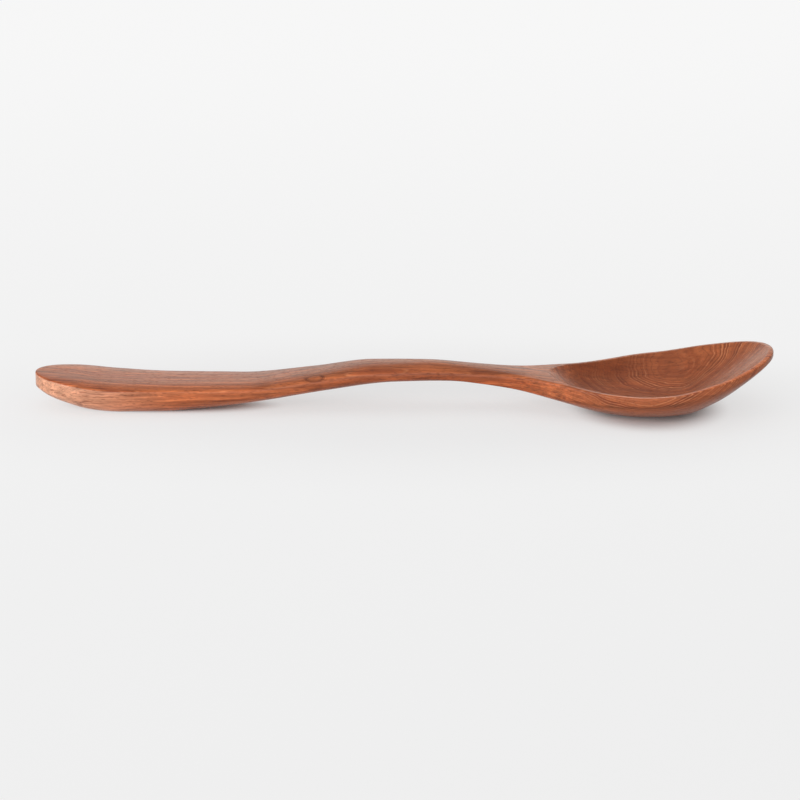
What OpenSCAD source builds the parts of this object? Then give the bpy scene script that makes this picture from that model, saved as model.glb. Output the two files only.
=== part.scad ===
// Wooden table spoon, carved from one piece of wood.
// It lies on its underside: +X runs from the handle's end to the bowl's tip, +Z is up.

/* [Overall] */
// Length from the end of the handle to the tip of the bowl
length = 210; // [180:1:260]
// Radius of the eased edge along the handle and the rim
edge_r = 0.5; // [0.3:0.05:0.7]

/* [Handle] */
// Width of the handle at its widest place, near the end
handle_w = 22.4; // [18:0.2:28]
// Length of the rounded end, from its tip to the widest place
end_len = 19; // [15:0.1:24]
// Height of the top edge above the table at the handle's end
end_h = 10.2; // [8.8:0.1:12]
// Height of the upright side face at the handle's end
side_h = 3.9; // [3:0.1:4.4]
// Thickness of the handle where it rests on the table
handle_t = 7.1; // [6.2:0.1:8.4]
// Rise of the middle of the handle's top above its edges
crown_h = 1.2; // [0.6:0.1:1.4]

/* [Neck] */
// Width of the neck at its narrowest place
neck_w = 10; // [9:0.2:13]
// Height of the neck's top above the table
neck_h = 12.7; // [11:0.1:16]
// Thickness of the neck from its top edge line to its underside
neck_t = 4.3; // [3.8:0.1:5.2]
// How far in the neck's rounded shoulder starts
neck_round_w = 4; // [3:0.1:4.2]
// How far down the neck's rounded shoulder reaches
neck_round_h = 2.2; // [1.6:0.1:2.3]

/* [Bowl] */
// Width of the bowl
bowl_w = 44.6; // [38:0.2:50]
// Length from the widest place of the bowl to its tip
tip_len = 30.6; // [26:0.2:36]
// Height of the rim above the table at its lowest place
rim_h = 9; // [8.4:0.1:11]
// Height of the rim above the table at the tip
tip_h = 17.8; // [16:0.1:20]
// Width of the flat rim between the hollow and the outside
rim_w = 1.5; // [1.3:0.05:2]
// Thickness of the wood under the deepest place of the hollow
floor_t = 2.4; // [2:0.1:3]
// How far in from its heel the hollow's own middle lies
heel_run = 10; // [9:0.2:12]

/* [Hidden] */

// Widths: places along the length, and how far each is through handle, neck and bowl
width_at_shares = [0.167, 0.263, 0.368, 0.483, 0.586, 0.66, 0.722, 0.78, 0.819];
width_shares = [0.19, 0.305, 0.575, 0.8, 1, 1.05, 1.365, 1.75, 1.948];
half_widths = [handle_w / 2, neck_w / 2, bowl_w / 2];

// Top edge: places along the length, and how far each is through the named heights
top_at_shares = [0, 0.048, 0.105, 0.182, 0.277, 0.378, 0.459, 0.531, 0.608, 0.694, 0.77, 0.847, 0.923, 1];
top_shares = [0, 0.405, 0.85, 1, 1.03, 1.48, 1.94, 2, 2.3, 2.7, 3, 3.1, 3.47, 4];
top_heights = [end_h, handle_t, neck_h, rim_h, tip_h];

// Underside along the middle, in the same way; it rests on the table under the handle and the bowl
keel_at_shares = [0, 0.02, 0.045, 0.081, 0.122, 0.172, 0.225, 0.311, 0.402, 0.493, 0.569, 0.641, 0.708,
    0.77, 0.806, 0.842, 0.88, 0.919, 0.96, 1];
keel_shares = [0, 0.38, 0.64, 0.9, 1, 1, 1.095, 1.355, 1.71, 1.975, 2, 2.205, 2.575, 2.92, 3, 3,
    3.03, 3.23, 3.595, 4];

// The section's form from the handle's end, through the neck, to the bowl's tip
form_at_shares = [0, 0.1, 0.311, 0.531, 0.694, 0.813, 0.909, 1];
crown_shares = [0.5, 0.75, 0.65, 0.67, 0.17, 0, 0, 0];
crown_powers = [4, 5, 3.2, 2, 2, 2, 2, 2];
shoulder_w_shares = [0, 0, 0.2, 1, 0.06, 0, 0, 0];
shoulder_h_shares = [0, 0, 0.35, 1, 0.12, 0, 0, 0];
side_shares = [1, 0.73, 0.5, 0.61, 1, 0.64, 0.44, 0.33];
flat_shares = [0.3, 0.52, 0.3, 0.1, 0.06, 0.18, 0.06, 0.03];
keel_powers = [2.3, 2.1, 2.5, 2.2, 2.2, 1.8, 1.9, 2.1];
edge_powers = [1.35, 1.6, 1.9, 2, 2, 1.62, 1.75, 1.5];

// The hollow: where its heel opens and how round it is, the wood under its middle, its wall's form
heel_at_share = 0.682;
heel_end_share = 0.73;
heel_even_share = 0.8;
heel_power = 0.62;
floor_at_shares = [0.72, 0.74, 0.765, 0.8, 0.84, 0.88, 0.92, 0.96];
wood_shares = [1.7, 1.2, 1.13, 1.03, 1, 1.08, 1.22, 1.08];
wall_at_shares = [0.695, 0.74, 0.8, 0.855, 0.92, 1];
wall_powers = [2.2, 2.5, 2.9, 2.9, 2.6, 2.2];

// How far in from a rounded end the first point of the middle line lies, in the end's own radius
middle_share = 0.6;
// How far such a point moves along from the one before, at the least, in the way between their stations
middle_gain = 0.15;

// Steps of the surface along the spoon and round its section
end_steps = 14;
handle_steps = 44;
heel_steps = 11;
side_steps = 13;
tip_steps = 18;
top_steps = 4;
edge_steps = 3;
belly_steps = 9;
ease_steps = 2;
wall_steps = 9;

wide_x = length - tip_len;
heel_x = length * heel_at_share;
heel_end_x = length * heel_end_share;
tip_side = side_h * side_shares[len(side_shares) - 1];
keel_heights = [end_h - side_h, 0, neck_h - neck_t, 0, tip_h - tip_side];
ease = edge_r * 0.6;

// Value part of the way from one to another
function mix(a, b, t) = a + (b - a) * t;

// Value a share of the way through a list of named values
function through(list, s) =
    let (k = min(floor(s), len(list) - 2))
    mix(list[k], list[k + 1], s - k);

// Points of a curved line from a start, its handles and an end
function bend3(a, b, c, t) = (1 - t) * (1 - t) * a + 2 * t * (1 - t) * b + t * t * c;
function bend4(a, b, c, d, t) = (1 - t) * bend3(a, b, c, t) + t * bend3(b, c, d, t);

// Smooth curve through points: heights never overshoot them, widths are level at both ends
function span(xs, x, k = 0) = k < len(xs) - 2 && x > xs[k + 1] ? span(xs, x, k + 1) : k;
function rise(xs, ys, k) = (ys[k + 1] - ys[k]) / (xs[k + 1] - xs[k]);
function lean(xs, ys, k, wide) =
    k == 0 ? (wide ? 0 : rise(xs, ys, 0))
    : k == len(xs) - 1 ? (wide ? 0 : rise(xs, ys, k - 1))
    : let (
        before = rise(xs, ys, k - 1),
        after = rise(xs, ys, k),
        run_before = xs[k] - xs[k - 1],
        run_after = xs[k + 1] - xs[k]
    )
    wide ? (before * run_after + after * run_before) / (run_before + run_after)
    : before * after <= 0 ? 0
    : before * after * (run_before + run_after) / (run_before * before + run_after * after);
function ends(xs, ys, k, wide) =
    let (third = (xs[k + 1] - xs[k]) / 3)
    [ys[k], ys[k] + lean(xs, ys, k, wide) * third, ys[k + 1] - lean(xs, ys, k + 1, wide) * third, ys[k + 1]];
function curve(xs, ys, x, wide = false) =
    let (k = span(xs, x), e = ends(xs, ys, k, wide), t = min(max((x - xs[k]) / (xs[k + 1] - xs[k]), 0), 1))
    bend4(e[0], e[1], e[2], e[3], t);
function curve_rise(xs, ys, x, wide = false) =
    let (k = span(xs, x), e = ends(xs, ys, k, wide), t = min(max((x - xs[k]) / (xs[k + 1] - xs[k]), 0), 1))
    3 * bend3(e[1] - e[0], e[2] - e[1], e[3] - e[2], t) / (xs[k + 1] - xs[k]);
function along(shares) = [for (s = shares) length * s];

width_xs = concat([end_len], along(width_at_shares), [wide_x]);
width_ys = concat([handle_w / 2], [for (s = width_shares) through(half_widths, s)], [bowl_w / 2]);
top_xs = along(top_at_shares);
top_ys = [for (s = top_shares) through(top_heights, s)];
keel_xs = along(keel_at_shares);
keel_ys = [for (s = keel_shares) through(keel_heights, s)];
form_xs = along(form_at_shares);

function form(values, x) = curve(form_xs, values, x);
function half_width(x) =
    x < end_len ? handle_w / 2 * sqrt(1 - pow(1 - x / end_len, 2))
    : x > wide_x ? bowl_w / 2 * sqrt(max(1 - pow((x - wide_x) / tip_len, 2), 0))
    : curve(width_xs, width_ys, x, true);
function top_z(x) = curve(top_xs, top_ys, x);
function keel_z(x) = curve(keel_xs, keel_ys, x);
function shoulder_h(x) = mix(edge_r, neck_round_h, form(shoulder_h_shares, x));
function side_z(x) = top_z(x) - max(side_h * form(side_shares, x), shoulder_h(x) * 1.05);

// Top face at a place: crowned across, and running out flat at the handle's end
function crown(x) =
    crown_h * form(crown_shares, x) * (x < end_len ? 1 - pow(1 - x / end_len, 2) : 1);
function top_face(x, y) =
    let (s = x > 0 && x < heel_end_x ? min(abs(y) / half_width(x), 1) : 1)
    top_z(x) + crown(x) * (1 - pow(s, form(crown_powers, x)));

// Underside at a place: level with the keel in the middle, up to the foot of the side face
function belly_z(x, y) =
    let (
        flat = form(flat_shares, x),
        s = y == 0 ? 0 : min(max((abs(y) / half_width(x) - flat) / (1 - flat), 0), 1)
    )
    mix(side_z(x), keel_z(x), pow(1 - pow(s, form(keel_powers, x)), 1 / form(edge_powers, x)));

// Outline stations: place, half width, direction of the outline, and how far the heel has opened
function station(x, opened) = [x, half_width(x), 1, curve_rise(width_xs, width_ys, x, true), opened];
stations = concat(
    [for (k = [0 : end_steps - 1])
        let (a = 90 * k / end_steps)
        [end_len * (1 - cos(a)), handle_w / 2 * sin(a), end_len * sin(a), handle_w / 2 * cos(a), 0]],
    [for (k = [0 : handle_steps - 1]) station(mix(end_len, heel_x, k / handle_steps), 0)],
    [for (k = [0 : heel_steps - 1])
        let (a = 90 * k / heel_steps)
        station(mix(heel_x, heel_end_x, mix(1 - cos(a), a / 90, heel_even_share)), a)],
    [for (k = [0 : side_steps - 1]) station(mix(heel_end_x, wide_x, k / side_steps), 90)],
    [for (k = [0 : tip_steps])
        let (a = 90 * k / tip_steps)
        [wide_x + tip_len * sin(a), bowl_w / 2 * cos(a), tip_len * cos(a), -bowl_w / 2 * sin(a), 90]]
);
last = len(stations) - 1;
heel = end_steps + handle_steps;

// A line square to the outline runs in from each station, as far as the rim and the eased edges go
function normal_x(s) = -s[3] / norm([s[2], s[3]]);
function normal_y(s) = s[2] / norm([s[2], s[3]]);
function reach(k) =
    k == 0 ? handle_w * handle_w / 4 / end_len
    : k == last ? bowl_w * bowl_w / 4 / tip_len
    : stations[k][1] / normal_y(stations[k]);
function place(k, inset) =
    let (s = stations[k])
    [s[0] - inset * normal_x(s), k == 0 || k == last ? 0 : s[1] - inset * normal_y(s)];

// Each station's own point of the middle line: even under both rounded ends, and in between where the
// station's line meets the middle, but never as far along as a later one
widest = last - tip_steps;
function met_x(k) = stations[k][0] - reach(k) * normal_x(stations[k]);
function middle_x(k) =
    k < end_steps ? mix(reach(0) * middle_share, end_len, k / end_steps)
    : k > widest ? mix(wide_x, length - reach(last) * middle_share, (k - widest) / tip_steps)
    : min([for (j = [k : widest]) met_x(j) - (stations[j][0] - stations[k][0]) * middle_gain]);

// Outside of the section at a station: from the middle or the hollow's edge, round to the keel
function outside(k) =
    let (
        s = stations[k],
        x = s[0],
        y = k == last ? 0 : s[1],
        run = reach(k),
        in = min(mix(edge_r, neck_round_w, form(shoulder_w_shares, x)), run * 0.9),
        inner = mix(run, rim_w - ease, pow(sin(s[4]), heel_power)),
        spot = place(k, in),
        start = top_face(mix(spot[0], x, sin(s[4])), spot[1]),
        bow = form(crown_powers, x),
        roll = bow * crown(x) * pow(1 - in / run, bow - 1) * in / run,
        foot = middle_x(k)
    )
    concat(
        [for (t = [0 : top_steps - 1])
            let (
                u = 1 - pow(1 - t / top_steps, 2),
                p = s[4] > 0 ? place(k, mix(inner, in, u)) : [mix(foot, spot[0], u), spot[1] * u]
            )
            [p[0], p[1], top_face(mix(p[0], x, sin(s[4])), p[1])]],
        [for (t = [0 : edge_steps])
            let (u = t / edge_steps, p = place(k, bend3(in, 0, 0, u)))
            [p[0], p[1], bend3(start, start - roll, top_z(x) - shoulder_h(x), u)]],
        [[x, y, side_z(x)]],
        [for (t = [1 : belly_steps])
            let (u = 1 - cos(90 * t / belly_steps), p = [mix(x, foot, u), t == belly_steps ? 0 : y * (1 - u)])
            [p[0], p[1], belly_z(p[0], p[1])]]
    );
skin = [for (k = [0 : last]) outside(k)];

// The hollow's own middle point at a station, and its nominal edge
heel_end = heel + heel_steps;
function bowl_foot(k) =
    [k < heel_end ? mix(heel_x + heel_run, middle_x(heel_end), (k - heel) / heel_steps) : middle_x(k), 0];
function inward(k) =
    let (way = bowl_foot(k) - [skin[k][0][0], skin[k][0][1]])
    way / norm(way);
function edge_point(k) =
    let (p = skin[k][0], way = inward(k))
    [p[0] + ease * way[0], p[1] + ease * way[1], p[2]];
edges = [for (k = [heel : last]) edge_point(k)];
edge_squares = [for (p = edges) [p[0], p[1] * p[1]]];
edge_heights = [for (p = edges) [p[0], p[2]]];
floor_xs = concat([edges[0][0]], along(floor_at_shares), [edges[last - heel][0]]);
floor_ys = concat(
    [edges[0][2]],
    [for (k = [0 : len(wood_shares) - 1]) keel_z(length * floor_at_shares[k]) + floor_t * wood_shares[k]],
    [edges[last - heel][2]]
);

// Hollow at a place: level with its floor line in the middle, up to its edge
function hollow_z(x, y) =
    let (
        s = y == 0 ? 0 : min(abs(y) / sqrt(lookup(x, edge_squares)), 1),
        steep = curve(along(wall_at_shares), wall_powers, x)
    )
    mix(curve(floor_xs, floor_ys, x), lookup(x, edge_heights), pow(s, steep));
function inside(k) =
    let (
        edge = skin[k][0],
        way = inward(k),
        run = norm(bowl_foot(k) - [edge[0], edge[1]]),
        start = [edge[0] + 2 * ease * way[0], edge[1] + 2 * ease * way[1]],
        fall = hollow_z(start[0], start[1])
    )
    concat(
        [for (t = [1 : ease_steps])
            let (u = t / ease_steps, d = 2 * ease * u)
            [edge[0] + d * way[0], edge[1] + d * way[1], bend3(edge[2], edge[2], fall, u)]],
        [for (t = [1 : wall_steps])
            let (
                d = mix(2 * ease, run, t / wall_steps),
                x = edge[0] + d * way[0],
                y = t == wall_steps ? 0 : edge[1] + d * way[1]
            )
            [x, y, hollow_z(x, y)]]
    );
bowl = [for (k = [heel : last]) inside(k)];
skin_n = len(skin[0]);
bowl_n = len(bowl[0]);

// One half is made, and the other is its mirror image; points on the middle plane are shared
function shift(p, side) = [p[0] - length / 2, p[1] * side, p[2]];
points = concat(
    [for (side = [-1, 1]) for (row = skin) for (p = row) shift(p, side)],
    [for (side = [-1, 1]) for (row = bowl) for (p = row) shift(p, side)]
);
skin_all = (last + 1) * skin_n;
bowl_all = (last + 1 - heel) * bowl_n;
function skin_id(side, k, j) =
    (side == 1 && k > 0 && k < last && j < skin_n - 1 && (j > 0 || k > heel) ? skin_all : 0) + k * skin_n + j;
function bowl_id(side, k, j) =
    j == 0 ? skin_id(side, k, 0)
    : 2 * skin_all + (side == 1 && k > heel && k < last && j < bowl_n ? bowl_all : 0)
        + (k - heel) * bowl_n + j - 1;
function facing(side, t) = side == 1 ? t : [t[0], t[2], t[1]];
function patch(side, a, b, c, d, turned) =
    turned ? [facing(side, [a, b, d]), facing(side, [b, c, d])]
    : [facing(side, [a, b, c]), facing(side, [a, c, d])];
faces = concat(
    [for (side = [-1, 1]) for (k = [0 : last - 1]) for (j = [0 : skin_n - 2])
        each patch(side, skin_id(side, k, j), skin_id(side, k, j + 1),
            skin_id(side, k + 1, j + 1), skin_id(side, k + 1, j), k == 0 && j == skin_n - 2)],
    [for (side = [-1, 1]) for (k = [heel : last - 1]) for (j = [0 : bowl_n - 1])
        each patch(-side, bowl_id(side, k, j), bowl_id(side, k, j + 1),
            bowl_id(side, k + 1, j + 1), bowl_id(side, k + 1, j), k == heel && j == bowl_n - 1)]
);

module spoon() {
    color("peru")
        polyhedron(points, faces, convexity = 8);
}

spoon();
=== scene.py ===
import math

import bmesh
import bpy
import numpy as np
from mathutils import Matrix, Vector


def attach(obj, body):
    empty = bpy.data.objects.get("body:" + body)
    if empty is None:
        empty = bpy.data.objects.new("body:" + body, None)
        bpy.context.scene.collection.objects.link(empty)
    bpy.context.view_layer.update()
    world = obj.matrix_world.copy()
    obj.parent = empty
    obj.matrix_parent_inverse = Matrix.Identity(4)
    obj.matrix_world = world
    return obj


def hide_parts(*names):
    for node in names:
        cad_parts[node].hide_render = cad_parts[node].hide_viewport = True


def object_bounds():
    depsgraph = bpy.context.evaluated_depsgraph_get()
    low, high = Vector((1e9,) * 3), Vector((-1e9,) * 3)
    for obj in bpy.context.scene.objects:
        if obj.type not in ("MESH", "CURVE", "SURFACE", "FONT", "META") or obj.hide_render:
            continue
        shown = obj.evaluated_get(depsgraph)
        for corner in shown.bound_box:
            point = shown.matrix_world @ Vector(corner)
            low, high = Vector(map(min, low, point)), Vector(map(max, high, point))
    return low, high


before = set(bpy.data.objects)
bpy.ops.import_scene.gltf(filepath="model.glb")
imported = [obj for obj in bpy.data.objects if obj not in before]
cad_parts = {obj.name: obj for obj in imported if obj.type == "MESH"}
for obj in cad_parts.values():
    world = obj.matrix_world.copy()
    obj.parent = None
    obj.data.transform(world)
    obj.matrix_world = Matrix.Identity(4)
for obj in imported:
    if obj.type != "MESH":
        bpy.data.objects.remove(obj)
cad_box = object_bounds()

# Sizes of the spoon in millimetres, as in its solid; the three outer ones are measured on the frame

LENGTH, BOWL_W, TIP_H = (round(1000 * (high - low), 2) for low, high in zip(*cad_box))
EDGE_R = 0.5  # radius of the eased edge along the handle and the rim
HANDLE_W = 22.4  # width of the handle near its end
END_LEN = 19.0  # length of its rounded end, as far as the widest place
END_H = 10.2  # height of the top edge at the end
SIDE_H = 3.9  # height of the upright side at the end
HANDLE_T = 7.1  # thickness of the handle where it rests on the table
CROWN_H = 1.2  # rise of the middle of its top above the edges
NECK_W = 10.0  # width of the neck at its narrowest
NECK_H = 12.7  # height of its top above the table
NECK_T = 4.3  # thickness from its top edge line to its underside
NECK_ROUND_W = 4.0  # how far in its rounded shoulder starts
NECK_ROUND_H = 2.2  # how far down the shoulder reaches
TIP_LEN = 30.6  # from the widest place of the bowl to its tip
RIM_H = 9.0  # height of the rim at its lowest place
RIM_W = 1.5  # width of the flat rim
FLOOR_T = 2.4  # wood under the deepest place of the hollow
HEEL_RUN = 10.0  # how far in from its heel the hollow's own middle lies
EASE = EDGE_R * 0.6  # half the width of the eased edge round the hollow

# Outline, top and keel: places as shares of the length, and how far each is through its named sizes

WIDTH_AT = [0.167, 0.263, 0.368, 0.483, 0.586, 0.66, 0.722, 0.78, 0.819]
WIDTHS = [0.19, 0.305, 0.575, 0.8, 1, 1.05, 1.365, 1.75, 1.948]
TOP_AT = [0, 0.048, 0.105, 0.182, 0.277, 0.378, 0.459, 0.531, 0.608, 0.694, 0.77, 0.847, 0.923, 1]
TOPS = [0, 0.405, 0.85, 1, 1.03, 1.48, 1.94, 2, 2.3, 2.7, 3, 3.1, 3.47, 4]
KEEL_AT = [0, 0.02, 0.045, 0.081, 0.122, 0.172, 0.225, 0.311, 0.402, 0.493, 0.569, 0.641, 0.708,
           0.77, 0.806, 0.842, 0.88, 0.919, 0.96, 1]
KEELS = [0, 0.38, 0.64, 0.9, 1, 1, 1.095, 1.355, 1.71, 1.975, 2, 2.205, 2.575, 2.92, 3, 3,
         3.03, 3.23, 3.595, 4]

# The section's form from the handle's end, through the neck, to the tip: shares and powers

FORM_AT = [0, 0.1, 0.311, 0.531, 0.694, 0.813, 0.909, 1]
CROWNS = [0.5, 0.75, 0.65, 0.67, 0.17, 0, 0, 0]
CROWN_POWERS = [4, 5, 3.2, 2, 2, 2, 2, 2]
SHOULDER_W = [0, 0, 0.2, 1, 0.06, 0, 0, 0]
SHOULDER_H = [0, 0, 0.35, 1, 0.12, 0, 0, 0]
SIDES = [1, 0.73, 0.5, 0.61, 1, 0.64, 0.44, 0.33]
FLATS = [0.3, 0.52, 0.3, 0.1, 0.06, 0.18, 0.06, 0.03]
KEEL_POWERS = [2.3, 2.1, 2.5, 2.2, 2.2, 1.8, 1.9, 2.1]
EDGE_POWERS = [1.35, 1.6, 1.9, 2, 2, 1.62, 1.75, 1.5]
SIDE_ROOM = 1.05  # the side face reaches at least this many times as far down as the shoulder
INSET_MOST = 0.9  # the most that a shoulder takes of the way to the middle plane

# The hollow: its heel, the wood under its floor line and the form of its wall

HEEL_AT, HEEL_END = 0.682, 0.73  # where the heel starts to open, and where it is open
HEEL_EVEN, HEEL_POWER = 0.8, 0.62  # how evenly its lines follow each other, and how round it is
FLOOR_AT = [0.72, 0.74, 0.765, 0.8, 0.84, 0.88, 0.92, 0.96]
WOOD_SHARES = [1.7, 1.2, 1.13, 1.03, 1, 1.08, 1.22, 1.08]
WALL_AT = [0.695, 0.74, 0.8, 0.855, 0.92, 1]
WALL_POWERS = [2.2, 2.5, 2.9, 2.9, 2.6, 2.2]

# The middle line under the outside

MIDDLE_SHARE = 0.6  # how far in from a rounded end it starts, in the end's own radius
MIDDLE_GAIN = 0.15  # its points lie at least this share of the way between their stations apart

# Steps of the surface: far finer than the solid's, so that its shading is smooth

END_N, HANDLE_N, HEEL_N, SIDE_N, TIP_N = 34, 150, 30, 40, 52
TOP_N, EDGE_N, FACE_N, BELLY_N, EASE_N, WALL_N = 14, 6, 3, 26, 5, 30

# Places along the spoon: the bowl's widest one, the start of the heel and its end

WIDE_X, HEEL_X, HEEL_END_X = LENGTH - TIP_LEN, LENGTH * HEEL_AT, LENGTH * HEEL_END
QUARTER = math.pi / 2
TINY = 1e-9  # a width below this counts as none
JOINED, THIN = 1e-6, 1e-7  # in metres: points this close are joined, and faces this thin taken out


def mix(a, b, t):
    return a + (b - a) * t


def through(sizes, shares):
    """Sizes at the given shares: 0 is the first of them, 1 the second, and 0.5 halfway between."""
    return np.interp(shares, np.arange(len(sizes)), sizes)


def along(shares):
    return LENGTH * np.array(shares, float)


def steps(count, first=True, last=True):
    """Even steps from 0 to 1, with or without the first and the last."""
    return np.arange(0 if first else 1, count + 1 if last else count) / count


def bend(a, b, c, t):
    """Curved line from a to c that heads for b."""
    return (1 - t) ** 2 * a + 2 * t * (1 - t) * b + t * t * c


def curve(xs, ys, x, wide=False, rise=False):
    """Smooth curve through points: heights never overshoot them, widths are level at both ends."""
    xs, ys, x = np.asarray(xs, float), np.asarray(ys, float), np.asarray(x, float)
    run = np.diff(xs)
    slope = np.diff(ys) / run
    before, after, run_b, run_a = slope[:-1], slope[1:], run[:-1], run[1:]
    lean = np.zeros(len(xs))
    if wide:
        lean[1:-1] = (before * run_a + after * run_b) / (run_b + run_a)
    else:
        with np.errstate(divide="ignore", invalid="ignore"):
            harmonic = before * after * (run_b + run_a) / (run_b * before + run_a * after)
        lean[1:-1] = np.where(before * after > 0, harmonic, 0)
        lean[0], lean[-1] = slope[0], slope[-1]
    k = np.clip(np.searchsorted(xs, x, side="left") - 1, 0, len(xs) - 2)
    t = np.clip((x - xs[k]) / run[k], 0, 1)
    a, d = ys[k], ys[k + 1]
    b, c = a + lean[k] * run[k] / 3, d - lean[k + 1] * run[k] / 3
    if rise:
        return 3 * bend(b - a, c - b, d - c, t) / run[k]
    return mix(bend(a, b, c, t), bend(b, c, d, t), t)


WIDTH_XS = np.concatenate([[END_LEN], along(WIDTH_AT), [WIDE_X]])
WIDTH_YS = np.concatenate(
    [[HANDLE_W / 2], through([HANDLE_W / 2, NECK_W / 2, BOWL_W / 2], WIDTHS), [BOWL_W / 2]]
)
TOP_YS = through([END_H, HANDLE_T, NECK_H, RIM_H, TIP_H], TOPS)
KEEL_YS = through([END_H - SIDE_H, 0, NECK_H - NECK_T, 0, TIP_H - SIDE_H * SIDES[-1]], KEELS)


def form(values, x):
    return curve(along(FORM_AT), values, x)


def half_width(x):
    x = np.asarray(x, float)
    end = HANDLE_W / 2 * np.sqrt(np.clip(1 - (1 - x / END_LEN) ** 2, 0, 1))
    tip = BOWL_W / 2 * np.sqrt(np.clip(1 - ((x - WIDE_X) / TIP_LEN) ** 2, 0, 1))
    between = curve(WIDTH_XS, WIDTH_YS, x, wide=True)
    return np.where(x < END_LEN, end, np.where(x > WIDE_X, tip, between))


def top_z(x):
    return curve(along(TOP_AT), TOP_YS, x)


def keel_z(x):
    return curve(along(KEEL_AT), KEEL_YS, x)


def shoulder_h(x):
    return mix(EDGE_R, NECK_ROUND_H, form(SHOULDER_H, x))


def side_z(x):
    return top_z(x) - np.maximum(SIDE_H * form(SIDES, x), shoulder_h(x) * SIDE_ROOM)


def crown(x):
    """Rise of the top's middle, which runs out flat at the handle's end."""
    return CROWN_H * form(CROWNS, x) * np.where(x < END_LEN, 1 - (1 - x / END_LEN) ** 2, 1)


def across(x, y, at_ends):
    """How far a place is from the middle plane, as a share of the half width, if there is any."""
    w = half_width(x)
    return np.divide(np.abs(y), w, out=np.full_like(w, at_ends), where=w > TINY)


def top_face(x, y):
    """Top at a place: crowned across the handle and the neck, and flat along the bowl's rim."""
    share = np.clip(across(x, y, 1), 0, 1)
    rise = crown(x) * (1 - share ** form(CROWN_POWERS, x))
    return top_z(x) + np.where((x > 0) & (x < HEEL_END_X), rise, 0)


def belly_z(x, y):
    """Underside: level with the keel in the middle, up to the foot of the side face."""
    flat = form(FLATS, x)
    s = np.clip((across(x, y, 0) - flat) / (1 - flat), 0, 1)
    return mix(side_z(x), keel_z(x), (1 - s ** form(KEEL_POWERS, x)) ** (1 / form(EDGE_POWERS, x)))


def stations():
    """Along the outline: place, direction, and how far the hollow's heel has opened, in radians."""
    a = QUARTER * steps(END_N, last=False)
    runs = [(END_LEN * (1 - np.cos(a)), HANDLE_W / 2 * np.sin(a),
             END_LEN * np.sin(a), HANDLE_W / 2 * np.cos(a), 0 * a)]
    heel = QUARTER * steps(HEEL_N, last=False)
    heel_share = mix(1 - np.cos(heel), heel / QUARTER, HEEL_EVEN)
    for x, opened in (
        (mix(END_LEN, HEEL_X, steps(HANDLE_N, last=False)), np.zeros(HANDLE_N)),
        (mix(HEEL_X, HEEL_END_X, heel_share), heel),
        (mix(HEEL_END_X, WIDE_X, steps(SIDE_N, last=False)), np.full(SIDE_N, QUARTER)),
    ):
        slant = curve(WIDTH_XS, WIDTH_YS, x, wide=True, rise=True)
        runs.append((x, half_width(x), np.ones_like(x), slant, opened))
    a = QUARTER * steps(TIP_N)
    runs.append((WIDE_X + TIP_LEN * np.sin(a), BOWL_W / 2 * np.cos(a),
                 TIP_LEN * np.cos(a), -BOWL_W / 2 * np.sin(a), np.full_like(a, QUARTER)))
    return np.hstack(runs)


# From each station a line runs in, square to the outline; REACH is its length to the middle plane

X, Y, GO_X, GO_Y, OPENED = stations()
LAST, HEEL = len(X) - 1, END_N + HANDLE_N
WIDEST, HEEL_STOP = LAST - TIP_N, HEEL + HEEL_N
NORMAL_X, NORMAL_Y = -GO_Y / np.hypot(GO_X, GO_Y), GO_X / np.hypot(GO_X, GO_Y)
with np.errstate(divide="ignore", invalid="ignore"):
    REACH = Y / NORMAL_Y
REACH[0], REACH[LAST] = HANDLE_W**2 / 4 / END_LEN, BOWL_W**2 / 4 / TIP_LEN


def middle_line():
    """Each station's own point of the middle line, kept in order along the spoon."""
    gain = X * MIDDLE_GAIN
    met = X - REACH * NORMAL_X - gain
    middle = np.zeros_like(X)
    middle[:WIDEST + 1] = np.minimum.accumulate(met[WIDEST::-1])[::-1] + gain[:WIDEST + 1]
    middle[:END_N] = mix(REACH[0] * MIDDLE_SHARE, END_LEN, steps(END_N, last=False))
    middle[WIDEST:] = mix(WIDE_X, LENGTH - REACH[LAST] * MIDDLE_SHARE, steps(TIP_N))
    return middle


MIDDLE = middle_line()


def place(k, inset):
    """Place on a station's line, that far in from the outline."""
    y = np.zeros_like(inset) if k in (0, LAST) else Y[k] - inset * NORMAL_Y[k]
    return X[k] - inset * NORMAL_X[k], y


def outside(k):
    """One line of the outside: from the middle or the hollow's edge, over the side, to the keel."""
    x, y, opened = X[k], 0.0 if k == LAST else Y[k], math.sin(OPENED[k])
    run, foot = REACH[k], MIDDLE[k]
    inset = min(mix(EDGE_R, NECK_ROUND_W, float(form(SHOULDER_W, x))), run * INSET_MOST)
    sx, sy = place(k, np.array(inset))
    u = 1 - (1 - steps(TOP_N, last=False)) ** 2
    if opened > 0:
        px, py = place(k, mix(mix(run, RIM_W - EASE, opened**HEEL_POWER), inset, u))
    else:
        px, py = mix(foot, sx, u), sy * u
    top = np.c_[px, py, top_face(mix(px, x, opened), py)]
    u = steps(EDGE_N)
    ex, ey = place(k, bend(inset, 0, 0, u))
    start = float(top_face(mix(sx, x, opened), sy))
    bow = float(form(CROWN_POWERS, x))
    roll = bow * float(crown(x)) * (1 - inset / run) ** (bow - 1) * inset / run
    foot_of_edge = float(top_z(x) - shoulder_h(x))
    edge = np.c_[ex, ey, bend(start, start - roll, foot_of_edge, u)]
    u = steps(FACE_N, first=False)
    face = np.c_[0 * u + x, 0 * u + y, mix(foot_of_edge, float(side_z(x)), u)]
    u = 1 - np.cos(QUARTER * steps(BELLY_N, first=False))
    bx, by = mix(x, foot, u), y * (1 - u)
    by[-1] = 0
    return np.concatenate([top, edge, face, np.c_[bx, by, belly_z(bx, by)]])


SKIN = np.array([outside(k) for k in range(LAST + 1)])

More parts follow.
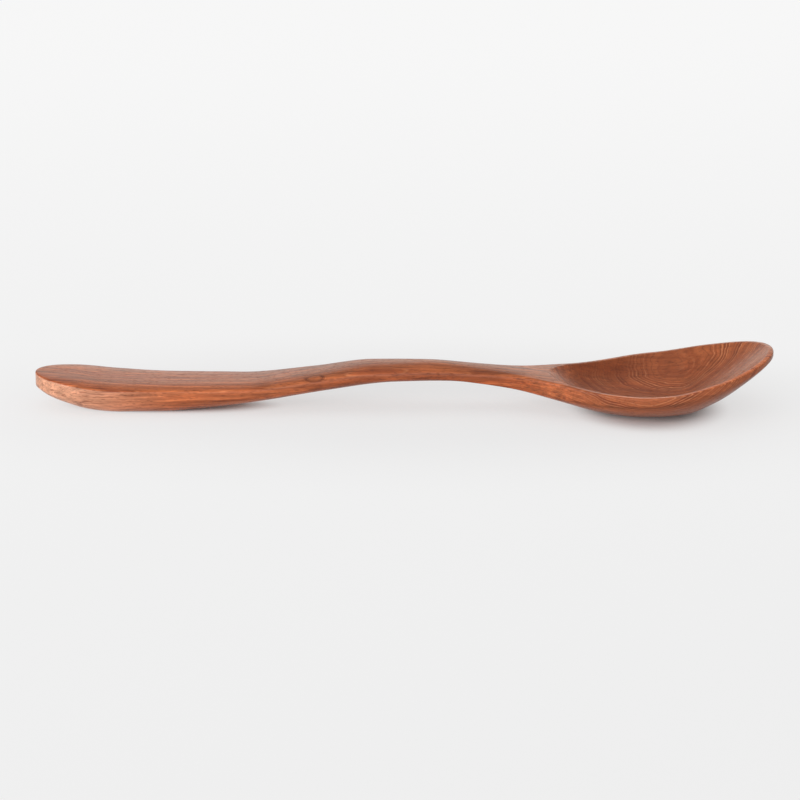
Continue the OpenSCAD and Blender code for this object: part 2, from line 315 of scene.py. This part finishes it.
# The hollow: a smooth sheet from its floor line up to its edge. It has a line for each station of the
# rim, and WAY is the direction of that line from the edge to the hollow's own middle

RIM = np.arange(HEEL, LAST + 1)
CENTRE_X = MIDDLE[RIM].copy()
CENTRE_X[:HEEL_N] = mix(HEEL_X + HEEL_RUN, MIDDLE[HEEL_STOP], steps(HEEL_N, last=False))
WAY = np.c_[CENTRE_X, 0 * CENTRE_X] - SKIN[RIM, 0, :2]
WAY_RUN = np.linalg.norm(WAY, axis=1)
WAY /= WAY_RUN[:, None]
EDGES = np.c_[SKIN[RIM, 0, :2] + EASE * WAY, SKIN[RIM, 0, 2]]
EDGE_X, EDGE_Y, EDGE_Z = EDGES[np.argsort(EDGES[:, 0], kind="stable")].T
FLOOR_XS = np.concatenate([EDGES[:1, 0], along(FLOOR_AT), EDGES[-1:, 0]])
FLOOR_YS = keel_z(along(FLOOR_AT)) + FLOOR_T * np.array(WOOD_SHARES)
FLOOR_YS = np.concatenate([EDGES[:1, 2], FLOOR_YS, EDGES[-1:, 2]])


def hollow_z(x, y):
    """Hollow at a place: level with its floor line in the middle, up to its edge."""
    w = np.sqrt(np.interp(x, EDGE_X, EDGE_Y**2))
    outer = np.where(np.abs(y) > 0, 1.0, 0.0)
    s = np.clip(np.divide(np.abs(y), w, out=outer, where=w > TINY), 0, 1)
    steep = curve(along(WALL_AT), WALL_POWERS, x)
    return mix(curve(FLOOR_XS, FLOOR_YS, x), np.interp(x, EDGE_X, EDGE_Z), s**steep)


def inside(i):
    """One line of the hollow: over its eased edge, down the wall, to its floor line."""
    edge = SKIN[RIM[i], 0]
    start = edge[:2] + 2 * EASE * WAY[i]
    fall = float(hollow_z(start[0], start[1]))
    u = steps(EASE_N)
    d = 2 * EASE * u
    lip = np.c_[edge[0] + d * WAY[i, 0], edge[1] + d * WAY[i, 1], bend(edge[2], edge[2], fall, u)]
    d = mix(2 * EASE, WAY_RUN[i], steps(WALL_N, first=False))
    x, y = edge[0] + d * WAY[i, 0], edge[1] + d * WAY[i, 1]
    y[-1] = 0
    return np.concatenate([lip, np.c_[x, y, hollow_z(x, y)]])


BOWL = np.array([inside(i) for i in range(len(RIM))])


def sheet(rows, flip):
    """Vertices and faces of a grid of points, with its mirror image across the middle plane."""
    n, m = rows.shape[:2]
    verts, faces = [], []
    for side in (-1, 1):
        base = len(verts)
        verts.extend((p[0] - LENGTH / 2, p[1] * side, p[2]) for row in rows for p in row)
        for k in range(n - 1):
            for j in range(m - 1):
                a = base + k * m + j
                quad = (a, a + 1, a + m + 1, a + m)
                faces.append(quad if (side == 1) != flip else quad[::-1])
    return verts, faces


def make_spoon():
    """The outside and the hollow as one closed mesh, in metres."""
    verts, faces = sheet(SKIN, False)
    more, more_faces = sheet(BOWL, True)
    faces += [tuple(i + len(verts) for i in face) for face in more_faces]
    mesh = bpy.data.meshes.new("wooden_spoon")
    mesh.from_pydata((np.array(verts + more) / 1000).tolist(), [], faces)
    bm = bmesh.new()
    bm.from_mesh(mesh)
    bmesh.ops.remove_doubles(bm, verts=bm.verts, dist=JOINED)
    bmesh.ops.dissolve_degenerate(bm, edges=bm.edges, dist=THIN)
    bmesh.ops.recalc_face_normals(bm, faces=bm.faces)
    bm.to_mesh(mesh)
    bm.free()
    mesh.shade_smooth()
    return bpy.data.objects.new("wooden_spoon", mesh)


class Nodes:
    """Short forms for a node tree: each adds one node or a few and gives back their result."""

    def __init__(self, tree):
        self.tree = tree

    def new(self, kind, **settings):
        node = self.tree.nodes.new(kind)
        for name, value in settings.items():
            setattr(node, name, value)
        return node

    def put(self, socket, value):
        if isinstance(value, bpy.types.NodeSocket):
            self.tree.links.new(value, socket)
        else:
            socket.default_value = value

    def math(self, op, *values, clamp=False):
        node = self.new("ShaderNodeMath", operation=op, use_clamp=clamp)
        for socket, value in zip(node.inputs, values):
            self.put(socket, value)
        return node.outputs[0]

    def times(self, first, *rest):
        for value in rest:
            first = self.math("MULTIPLY", first, value)
        return first

    def vector(self, op, *values, out=0):
        node = self.new("ShaderNodeVectorMath", operation=op)
        for socket, value in zip(node.inputs, values):
            self.put(socket, value)
        return node.outputs[out]

    def scaled(self, vec, factor):
        node = self.new("ShaderNodeVectorMath", operation="SCALE")
        self.put(node.inputs["Vector"], vec)
        self.put(node.inputs["Scale"], factor)
        return node.outputs[0]

    def parts(self, vec):
        """The X, Y and Z of a vector."""
        node = self.new("ShaderNodeSeparateXYZ")
        self.put(node.inputs[0], vec)
        return node.outputs

    def cells(self, vec, size, shift):
        """The place, moved by the shift, in cells of the given size."""
        return self.vector("DIVIDE", self.vector("ADD", vec, shift), size)

    def distance(self, vec, centre, size):
        """How far the place is from a centre, counted in the given size each way."""
        return self.vector("LENGTH", self.cells(vec, size, [-c for c in centre]), out=1)

    def noise(self, vec, size, shift, detail, rough=0.5, out="Fac"):
        """Soft noise with lumps of the given size."""
        node = self.new("ShaderNodeTexNoise", noise_dimensions="3D")
        self.put(node.inputs["Vector"], self.cells(vec, size, shift))
        node.inputs["Scale"].default_value = 1.0
        node.inputs["Detail"].default_value = detail
        node.inputs["Roughness"].default_value = rough
        return node.outputs[out]

    def ramp(self, value, start, full, a=0.0, b=1.0, kind="SMOOTHSTEP"):
        """From a, where the value is at start or before it, to b, where it is at full or past it."""
        node = self.new("ShaderNodeMapRange", interpolation_type=kind)
        self.put(node.inputs["Value"], value)
        self.put(node.inputs["From Min"], start)
        self.put(node.inputs["From Max"], full)
        self.put(node.inputs["To Min"], a)
        self.put(node.inputs["To Max"], b)
        return node.outputs[0]

    def within(self, value, start, full, fade=None, stop=None):
        """From 0 at start to 1 at full, and from fade back to 0 at stop where they are given."""
        share = self.ramp(value, start, full)
        return share if stop is None else self.times(share, self.ramp(value, stop, fade))

    def lot(self, count):
        """One random number between 0 and 1 for each whole number of a count."""
        node = self.new("ShaderNodeTexWhiteNoise", noise_dimensions="1D")
        self.put(node.inputs["W"], self.math("FLOOR", count))
        return node.outputs["Value"]

    def blend(self, share, a, b):
        """From colour a to colour b by a share; the node's sockets 6, 7 and 2 are those for colours."""
        node = self.new("ShaderNodeMix", data_type="RGBA", blend_type="MIX")
        self.put(node.inputs[0], share)
        self.put(node.inputs[6], a)
        self.put(node.inputs[7], b)
        return node.outputs[2]


def srgb(r, g, b):
    """A colour as a screen shows it, from 0 to 255."""
    return tuple(c / 12.92 if c <= 0.04045 else ((c + 0.055) / 1.055) ** 2.4
                 for c in (r / 255, g / 255, b / 255)) + (1.0,)


# Wood: rings round a pith below and behind the spoon, fine lines, streaks, fibre and open pores, with
# painted shade and painted light on some faces.
# Places are in millimetres from the middle of the spoon, at the level of the table

EARLY, LATE, MIDDLE_WOOD = srgb(191, 106, 62), srgb(136, 60, 31), srgb(156, 75, 41)
# the second colour here is paler wood with a painted highlight, for the sides of the handle's end
PALE, PALE_END_AND_HIGHLIGHT = srgb(224, 147, 100), srgb(221, 172, 142)
# the first colour here is painted shade: the deeper, richer colour of shaded faces
RICH_SHADE, VEIN, PORE = srgb(152, 66, 22), srgb(116, 50, 28), srgb(80, 36, 22)

PITH = (0, 71.0, -64.0)
RING, FINE = 1.55, 0.43  # from one ring, or one fine line, to the next
RING_SHIFT, FINE_SHIFT = 1.6, 1.1  # the most that a noise moves them, in rings or in fine lines
DARK_STEP = 0.45  # the dark lines lie this share of a fine line before the pale ones
SLOW_SWAY, QUICK_SWAY, PORE_SWAY = 3.0, 1.3, 0.35  # how far the grain and the pores waver
CLIMB = 0.24  # slope of the grain towards the tip
CLIMB_FROM, CLIMB_BEND = 10.0, 50.0  # where it starts to climb, and how long it takes to that slope
KNOT, KNOT_SIZE = (-25.0, -5.9, 10.1), (2.5, 1.4, 1.4)
KNOT_PUSH = 3.2  # how far the knot pushes the rings
HEART, HEART_SIZE = (77.0, 17.5, 8.5), (5.5, 3.2, 3.2)  # the middle of the loops on the far wall
PORE_DEPTH = 0.00005  # in metres

# Noises: the size of a lump, a shift that sets it apart from the others, detail and roughness
SLOW_WAVE = ((80, 22, 22), (0, 0, 0), 1.0)
QUICK_WAVE = ((20, 5, 5), (40, 9, 3), 2.0)
RING_WIDTHS = ((1 / 0.21, 1, 1), (0, 0, 0), 1.0)
FINE_JOG = ((22, 4, 4), (7, 31, 12), 2.0)
FINE_BREAKS = ((13, 3.4, 3.4), (3, 5, 71), 2.0)
STREAKS = ((30, 1.3, 1.2), (11, 2, 5), 4.0, 0.65)
FLECKS = ((3.6, 0.55, 0.55), (2, 17, 8), 2.0)
VEINS = ((24, 0.75, 0.65), (31, 8, 4), 2.0)
BROAD = ((48, 11, 8), (90, 20, 14), 2.0)
FIBRE = ((6, 0.22, 0.22), (0, 0, 0), 3.0, 0.6)
PORE_WOBBLE = ((4, 1.2, 1.2), (0, 0, 0), 1.0)
EDGE_BREAKS = ((9, 4, 4), (1, 6, 2), 1.0)

# Across one ring or line, from 0 to 1: where it begins, is full, fades and ends
LATE_PART = (0.15, 0.90, 0.93, 1.0)
PALE_LINE = (0.34, 0.48, 0.52, 0.70)
DARK_LINE = (0.30, 0.46, 0.54, 0.74)

# Ramps: the low and the high value of a noise, a lot or a place, and what it gives at each
RING_STRENGTH = (0, 1, 0.15, 1.0)
PALE_STRENGTH = (0.15, 1.0, 0.05, 1.0)
DARK_STRENGTH = (0.1, 1.0, 0.15, 1.0)
PORE_STRENGTH = (0, 1, 1.0, 0.45)
HEART_STRENGTH = (0.6, 1.5, 0.12, 1.0)
EDGE_STRENGTH = (0.30, 0.60, 0.45, 1.0)
STREAK_TONE = (0.32, 0.70, 0.56, 1.33)
FLECK_TONE = (0.30, 0.70, 0.84, 1.16)
FIBRE_TONE = (0.25, 0.75, 0.93, 1.11)
FIBRE_ROUGHNESS = (0.2, 0.8, 0.28, 0.37)
PALE_ALONG = (36, 80, 0.38, 1.0)
DARK_ALONG = (62, 80, -0.28, -0.42)

# Limits of a noise: where what it stands for begins and where it is full
LINE_SEEN, BROAD_SEEN, VEIN_SEEN = (0.36, 0.60), (0.32, 0.70), (0.42, 0.33)

# Pores: the size of a cell, its shift, how far a pore reaches in it, and the share that has one
SMALL_PORES = ((2.2, 0.34, 0.34), (0, 0, 0), 0.34, 0.80)
LARGE_PORES = ((4.2, 0.60, 0.60), (5, 3, 8), 0.24, 0.60)
PORE_CORE = 0.45  # the share of its reach within which a pore is at its deepest
FAINT = 0.05  # a further share of the cells has a pore that is only faint

# Where the wood differs, and where light and shade are painted on it: painted shade on the sides of
# the bowl and the neck, the bowl's underside, the crease of the lower edge and the heel's wall; a
# painted sheen on the hollow's level floor and painted light on the raised tip; paler wood with a
# painted highlight on the sides of the handle's end. Each measure has limits: where the difference
# begins and where it is full, and for some also where it fades and where it ends. x is the place
# along the spoon, radius the distance from the pith, knot that from the knot in its own size, and
# y and z say which way the surface faces. SIDEWAYS holds where it faces sideways or down
SIDEWAYS = (0.55, 0.2)
PLACES = {
    "bowl": {"x": (36, 62)},
    # paler wood with a painted highlight on the sides of the handle's end
    "pale_highlit_end_sides": {"x": (-60, -100), "z": SIDEWAYS},
    "slim_part": {"x": (-62, -26, 22, 42)},
    # painted shade: the neck's faces that turn sideways or down are deeper and richer
    "shaded_neck_sides": {"x": (-40, -20, 34, 46), "z": SIDEWAYS},
    # painted shade: the bowl's faces that turn sideways or down are darker
    "shaded_bowl_sides": {"x": (40, 56), "z": SIDEWAYS},
    # painted shade: the crease where the side turns under is darker
    "shaded_lower_edge": {"x": (38, 50, 74, 90), "z": (-0.55, -0.30, -0.10, -0.01)},
    # painted shade: the bowl's downward faces are darker
    "underside": {"x": (38, 50), "z": (-0.1, -0.4)},
    # painted sheen: the hollow's level floor is made lighter
    "hollow_floor_sheen": {"x": (50, 60), "z": (0.88, 0.975)},
    # painted shade: the heel's wall, which faces the front, is darker and richer
    "shaded_heel_wall": {"x": (44, 52, 62, 76), "y": (-0.36, -0.62), "z": (0.3, 0.5)},
    # painted light: the tip's upward faces are lighter
    "lit_raised_tip": {"x": (80, 92), "z": (0.4, 0.7)},
    "near_pith": {"x": (25, 60), "radius": (104, 88)},
    "knot_rim": {"knot": (0.55, 0.85, 1.0, 1.4)},
}

CALM = -0.70  # how much weaker the rings and lines are on the heel's wall
# painted shade along the crease of the lower edge
CREASE_SHADE = -0.34  # how much darker the lower edge is, where nothing breaks it up

# How much lighter or darker the wood is in the other places that differ in tone. On the sides of
# the bowl and the neck, the underside and the heel's wall the darkening is painted shade; on the
# hollow's level floor the lightening is a painted sheen, and on the raised tip painted light
TONES_AND_PAINTED_LIGHT = {
    "slim_part": -0.20,
    # painted shade: slightly darker on the neck's sides
    "shaded_neck_sides": -0.03,
    # painted shade: darker on the bowl's sides
    "shaded_bowl_sides": -0.20,
    # painted shade: darker on the bowl's underside
    "underside": -0.13,
    # painted sheen: lighter on the hollow's level floor
    "hollow_floor_sheen": 0.30,
    # painted shade: darker on the heel's wall
    "shaded_heel_wall": -0.14,
    # painted light: lighter on the raised tip
    "lit_raised_tip": 0.12,
    "near_pith": -0.26,
    "knot_rim": -0.34,
}


class Wood(Nodes):
    """The wood's nodes, with the places and masks that most of its features need."""

    def __init__(self, tree):
        super().__init__(tree)
        texture = self.new("ShaderNodeTexCoord").outputs
        self.mm = self.scaled(texture["Object"], 1000.0)
        self.x = self.parts(self.mm)[0]
        facing = self.parts(texture["Normal"])
        knot = self.distance(self.mm, KNOT, KNOT_SIZE)
        self.waved = self.waves()
        self.radius = self.from_pith(knot)
        measures = {"x": self.x, "y": facing[1], "z": facing[2], "radius": self.radius, "knot": knot}
        self.at = {name: self.mask(measures, limits) for name, limits in PLACES.items()}
        self.calm = self.math("MULTIPLY_ADD", self.at["shaded_heel_wall"], CALM, 1.0)

    def mask(self, measures, limits):
        return self.times(*(self.within(measures[name], *ends) for name, ends in limits.items()))

    def in_bowl(self, elsewhere, there):
        """One value for the handle and the neck, and another for the bowl."""
        return self.ramp(self.at["bowl"], 0, 1, elsewhere, there)

    def waves(self):
        """The place, moved across the spoon in slow and in quick waves of the grain."""
        waved = self.mm
        for kind, sway in ((SLOW_WAVE, SLOW_SWAY), (QUICK_WAVE, QUICK_SWAY)):
            wave = self.vector("SUBTRACT", self.noise(self.mm, *kind, out="Color"), (0.5, 0.5, 0.5))
            waved = self.vector("MULTIPLY_ADD", wave, (0, sway, sway), waved)
        return waved

    def from_pith(self, knot):
        """Distance from the pith; the grain climbs towards the tip and bends round the knot."""
        square = self.vector("MULTIPLY", self.vector("SUBTRACT", self.waved, PITH), (0, 1, 1))
        past = self.math("MAXIMUM", self.math("SUBTRACT", self.x, CLIMB_FROM), 0.0)
        bent = self.math("MINIMUM", past, CLIMB_BEND)
        straight = self.math("SUBTRACT", past, bent)
        climb = self.math("MULTIPLY_ADD", self.times(bent, bent), 0.5 / CLIMB_BEND, straight)
        radius = self.math("MULTIPLY_ADD", climb, -CLIMB, self.vector("LENGTH", square, out=1))
        push = self.math("EXPONENT", self.times(knot, knot, -1.0))
        return self.math("MULTIPLY_ADD", push, KNOT_PUSH, radius)

    def rings(self):
        """How far a place is through its ring, and how dark it is there.

        Each ring darkens towards its outer edge, and no two are equally wide or equally strong.
        """
        radius = self.new("ShaderNodeCombineXYZ")
        self.put(radius.inputs["X"], self.radius)
        uneven = self.noise(radius.outputs[0], *RING_WIDTHS)
        count = self.math("MULTIPLY_ADD", uneven, RING_SHIFT, self.math("DIVIDE", self.radius, RING))
        part = self.math("FRACT", count)
        strength = self.ramp(self.lot(count), *RING_STRENGTH, "LINEAR")
        return part, self.times(self.within(part, *LATE_PART), self.calm, strength)

    def fine_lines(self):
        """Pale lines, broken up along their length, and dark lines between them in the bowl.

        Each pale line has its own strength. Of a dark line each half has its own.
        """
        jog = self.math("MULTIPLY_ADD", self.noise(self.mm, *FINE_JOG), FINE_SHIFT, 0.5)
        count = self.math("ADD", self.math("DIVIDE", self.radius, FINE), jog)
        least = self.in_bowl(0.25, 0.55)
        seen = self.ramp(self.noise(self.mm, *FINE_BREAKS), *LINE_SEEN, least, 1.0)
        beside_heart = self.ramp(self.distance(self.mm, HEART, HEART_SIZE), *HEART_STRENGTH)
        strength = self.ramp(self.lot(count), *PALE_STRENGTH)
        pale = self.within(self.math("FRACT", count), *PALE_LINE)
        pale = self.times(pale, strength, seen, beside_heart, self.calm)
        count = self.math("ADD", count, DARK_STEP)
        strength = self.ramp(self.lot(self.math("ADD", count, 0.5)), *DARK_STRENGTH)
        dark = self.within(self.math("FRACT", count), *DARK_LINE)
        return pale, self.times(dark, strength, self.at["bowl"], self.calm)

    def some_pores(self, spot, size, shift, reach, share):
        cell = self.new("ShaderNodeTexVoronoi", voronoi_dimensions="3D", feature="F1")
        self.put(cell.inputs["Vector"], self.cells(spot, size, shift))
        cell.inputs["Scale"].default_value = 1.0
        own = self.new("ShaderNodeSeparateColor")
        self.put(own.inputs[0], cell.outputs["Color"])
        kept = self.ramp(own.outputs[0], share + FAINT, share, kind="LINEAR")
        return self.times(self.ramp(cell.outputs["Distance"], reach, reach * PORE_CORE), kept)

    def pores(self, part):
        """Open pores: short fine grooves along the grain, fainter in the late wood of each ring."""
        wobble = self.noise(self.mm, *PORE_WOBBLE, out="Color")
        spot = self.vector("MULTIPLY_ADD", wobble, (0, PORE_SWAY, PORE_SWAY), self.mm)
        small, large = (self.some_pores(spot, *kind) for kind in (SMALL_PORES, LARGE_PORES))
        strength = self.ramp(part, *PORE_STRENGTH, "LINEAR")
        return self.times(self.math("MAXIMUM", small, large), strength)

    def colour(self, late, pale):
        """The wood's colours, with a painted highlight and painted shade, each laid over the ones
        before it by its share.
        """
        broad = self.ramp(self.noise(self.mm, *BROAD), *BROAD_SEEN)
        vein = self.ramp(self.noise(self.waved, *VEINS), *VEIN_SEEN)
        colour = EARLY
        for over, where, share in (
            (LATE, late, self.in_bowl(0.78, 0.95)),
            (MIDDLE_WOOD, broad, 0.5),
            (PALE, pale, self.ramp(self.x, *PALE_ALONG)),
            # paler wood with a painted highlight on the sides of the handle's end
            (PALE_END_AND_HIGHLIGHT, self.at["pale_highlit_end_sides"], 0.60),
            # painted shade: deeper, richer colour on the neck's sides
            (RICH_SHADE, self.at["shaded_neck_sides"], 0.40),
            # painted shade: deeper, richer colour on the heel's wall
            (RICH_SHADE, self.at["shaded_heel_wall"], 0.45),
            (VEIN, vein, self.in_bowl(0.50, 0.15)),
        ):
            colour = self.blend(self.times(where, share), colour, over)
        return colour

    def shade(self, fibre, dark):
        """Brightness: streaks and flecks, which fade in the bowl, fibre, the tones of places, painted
        shade and painted light.
        """
        streak = self.ramp(self.noise(self.waved, *STREAKS), *STREAK_TONE, "LINEAR")
        fleck = self.ramp(self.noise(self.waved, *FLECKS), *FLECK_TONE, "LINEAR")
        shade = self.math("POWER", self.times(streak, fleck), self.in_bowl(1.0, 0.45))
        shade = self.times(shade, self.ramp(fibre, *FIBRE_TONE, "LINEAR"))
        # painted shade along the crease of the lower edge, broken up by a noise
        breaks = self.ramp(self.noise(self.mm, *EDGE_BREAKS), *EDGE_STRENGTH)
        tones = [(self.at[name], change) for name, change in TONES_AND_PAINTED_LIGHT.items()]
        tones.append((self.times(self.at["shaded_lower_edge"], breaks), CREASE_SHADE))
        tones.append((dark, self.ramp(self.x, *DARK_ALONG)))
        for where, change in tones:
            shade = self.times(shade, self.math("MULTIPLY_ADD", where, change, 1.0))
        return shade


def wood_material():
    """Oiled wood with a satin finish, dull only in its pores, with shade and light painted on some
    faces.
    """
    mat = bpy.data.materials.new("oiled_wood")
    mat.use_nodes = True
    shader = mat.node_tree.nodes["Principled BSDF"]
    wood = Wood(mat.node_tree)
    part, late = wood.rings()
    pale, dark = wood.fine_lines()
    fibre = wood.noise(wood.mm, *FIBRE)
    pore = wood.pores(part)
    colour = wood.scaled(wood.colour(late, pale), wood.shade(fibre, dark))
    satin = wood.ramp(fibre, *FIBRE_ROUGHNESS, "LINEAR")
    bump = wood.new("ShaderNodeBump")
    bump.inputs["Strength"].default_value = 0.8
    bump.inputs["Distance"].default_value = PORE_DEPTH
    wood.put(bump.inputs["Height"], wood.math("SUBTRACT", wood.times(fibre, 0.35), pore))
    wood.put(shader.inputs["Base Color"], wood.blend(wood.times(pore, 0.60), colour, PORE))
    wood.put(shader.inputs["Roughness"], wood.math("MULTIPLY_ADD", pore, 0.3, satin))
    wood.put(shader.inputs["Normal"], bump.outputs[0])
    shader.inputs["IOR"].default_value = 1.36
    return mat


spoon = make_spoon()
bpy.context.collection.objects.link(spoon)
spoon.data.materials.append(wood_material())
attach(spoon, "root")
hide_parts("spoon")

# Floor, light and camera, in metres

FLOOR_SIZE, FLOOR_Y, FLOOR_Z = 12, 2.0, -0.00002
FLOOR_COLOUR = (0.925, 0.915, 0.92, 1)

# Where the spoon stands on the floor, and how far the dark of its own shadow reaches there
STANDS = (
    ((0.070, 0, 0), (0.0135, 0.0140, 1)),
    ((-0.0655, 0, 0), (0.0185, 0.005, 1)),
)
DARK_RIM = (0.9, 1.8)  # from the dark to the clear floor, counted in that reach

# The share of even light: lower beside the spoon and full away from it, which is further along it
SPREAD = (2.2, 1, 1)
EVEN_SHARE = (0.02, 0.08, 0.62, 0.92)
WHITE_ALONG = (-0.35, 0.6, 0.865, 0.95)  # from the front to the back of the floor, and its white there


def floor_material():
    """Pale floor; away from the spoon the camera sees it evenly lit, as on a white sweep."""
    mat = bpy.data.materials.new("pale_floor")
    mat.use_nodes = True
    shader = mat.node_tree.nodes["Principled BSDF"]
    shader.inputs["Base Color"].default_value = FLOOR_COLOUR
    shader.inputs["Roughness"].default_value = 0.9
    shader.inputs["Specular IOR Level"].default_value = 0.1
    n = Nodes(mat.node_tree)
    spot = n.vector("ADD", n.new("ShaderNodeTexCoord").outputs["Object"], (0, FLOOR_Y, 0))
    clear = [n.ramp(n.distance(spot, stand, reach), *DARK_RIM) for stand, reach in STANDS]
    even = n.times(*clear, n.ramp(n.distance(spot, (0, 0, 0), SPREAD), *EVEN_SHARE))
    ray = n.new("ShaderNodeLightPath").outputs
    shown = n.math("ADD", ray["Is Camera Ray"], ray["Is Glossy Ray"])
    shown = n.math("ADD", shown, ray["Is Transmission Ray"], clamp=True)
    white = n.new("ShaderNodeEmission")
    n.put(white.inputs["Strength"], n.ramp(n.parts(spot)[1], *WHITE_ALONG))
    both = n.new("ShaderNodeMixShader")
    n.put(both.inputs[0], n.times(even, shown))
    n.put(both.inputs[1], shader.outputs[0])
    n.put(both.inputs[2], white.outputs[0])
    n.put(mat.node_tree.nodes["Material Output"].inputs["Surface"], both.outputs[0])
    return mat


bpy.ops.mesh.primitive_plane_add(size=FLOOR_SIZE, location=(0, FLOOR_Y, FLOOR_Z))
floor = bpy.context.object
floor.name = "floor"
floor.data.materials.append(floor_material())


def studio_world():
    world = bpy.data.worlds.new("studio")
    world.use_nodes = True
    sky = world.node_tree.nodes["Background"]
    sky.inputs["Color"].default_value = (1, 1, 1, 1)
    sky.inputs["Strength"].default_value = 0.48
    return world


def soft_lamp(name, spot, target, size, power, tint=(1, 1, 1)):
    lamp = bpy.data.lights.new(name, "AREA")
    lamp.shape = "RECTANGLE"
    lamp.size, lamp.size_y = size
    lamp.energy = power
    lamp.color = tint
    obj = bpy.data.objects.new(name, lamp)
    obj.location = spot
    obj.rotation_euler = (Vector(target) - Vector(spot)).to_track_quat("-Z", "Y").to_euler()
    bpy.context.collection.objects.link(obj)


bpy.context.scene.world = studio_world()
soft_lamp("overhead", spot=(0, 0.10, 1.4), target=(0, 0.10, 0), size=(1.4, 1.4), power=1.6)
soft_lamp("front", spot=(-0.40, -1.35, 0.55), target=(0, 0, 0), size=(2.2, 0.9), power=13.0)
soft_lamp("low_left", spot=(-0.42, -0.30, 0.13), target=(-0.06, 0, 0.01), size=(0.25, 0.12), power=0.75)
soft_lamp("window", spot=(0.30, 1.15, 0.31), target=(0, 0, 0), size=(1.6, 0.4), power=2.5,
          tint=(1.0, 0.95, 0.84))

# The camera stands where the photograph's did. The photograph shows the frame's origin at ORIGIN_AT,
# in pixels from its top left corner, and SCALE is its pixels to a metre at that distance

AZIMUTH, ELEVATION = math.radians(1.0), math.radians(18.0)
DISTANCE, SCALE = 0.754, 3493.0
PHOTO_SIZE, ORIGIN_AT = 800, (402.95, 405.94)


def photo_camera():
    right = Vector((math.cos(AZIMUTH), math.sin(AZIMUTH), 0))
    level = Vector((-math.sin(AZIMUTH), math.cos(AZIMUTH), 0))
    ahead = level * math.cos(ELEVATION) - Vector((0, 0, math.sin(ELEVATION)))
    up = right.cross(ahead)
    cam = bpy.data.cameras.new("camera")
    cam.sensor_fit = "HORIZONTAL"
    cam.sensor_width = 36.0
    cam.lens = cam.sensor_width * DISTANCE * SCALE / PHOTO_SIZE
    cam.clip_start, cam.clip_end = 0.01, 50
    camera = bpy.data.objects.new("camera", cam)
    aside = (ORIGIN_AT[0] - PHOTO_SIZE / 2) / SCALE
    above = (PHOTO_SIZE / 2 - ORIGIN_AT[1]) / SCALE
    camera.location = -(DISTANCE * ahead + aside * right + above * up)
    camera.rotation_mode = "QUATERNION"
    camera.rotation_quaternion = Matrix((right, up, -ahead)).transposed().to_quaternion()
    bpy.context.collection.objects.link(camera)
    return camera


bpy.context.scene.camera = photo_camera()

bpy.context.scene.view_settings.view_transform = "Standard"
